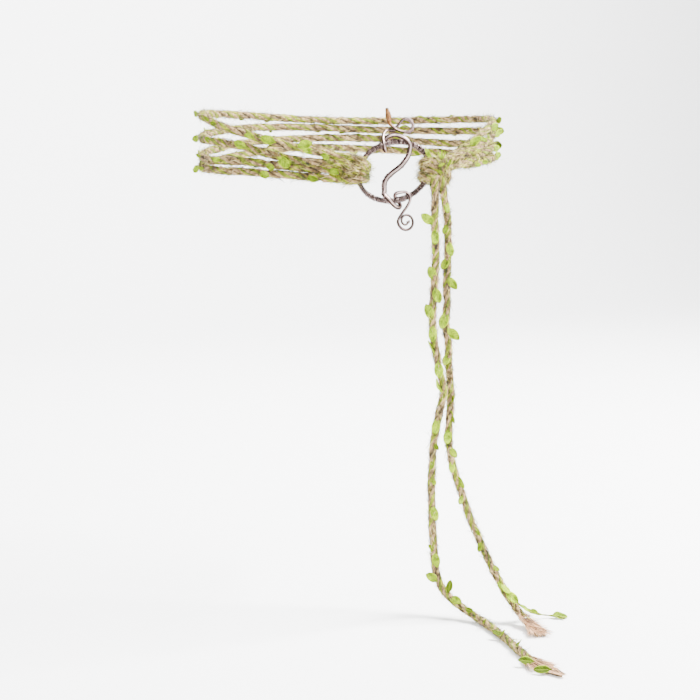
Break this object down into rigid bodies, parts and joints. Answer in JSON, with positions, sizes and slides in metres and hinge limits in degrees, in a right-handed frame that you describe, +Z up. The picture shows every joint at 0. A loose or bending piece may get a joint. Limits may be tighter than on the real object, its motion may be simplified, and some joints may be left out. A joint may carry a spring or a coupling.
{
  "type": "rope belt",
  "caption": "Rope belt of leafy jute twine wound round the waist and tied to an oval wire ring with an S-shaped wire snake, with free tails.",
  "frame": {"origin": "middle of the hollow that the waist fills, halfway between the front and back strands", "axes": "+Z up along the waist, -Y to the front where the buckle is, +X to the wearer's left"},
  "size_m": [0.2704, 0.3852, 0.4158],
  "materials": {
    "wound_iron": "round wire wound with fine wire",
    "coppered_wire": "dark coppery wire, worn bright on top",
    "jute": "hairy natural jute twine",
    "leafy_jute": "jute twine twisted with a green ribbon that carries cloth leaves"
  },
  "bodies": {
    "root": {"buckle_ring": "wound_iron", "snake": "coppered_wire", "left_hitch": "jute", "right_knot": "jute", "waist_strand_1": "leafy_jute", "waist_strand_2": "leafy_jute", "waist_strand_3": "leafy_jute", "waist_strand_4": "leafy_jute", "tail_long": "leafy_jute", "tail_short": "leafy_jute"}
  },
  "joints": []
}
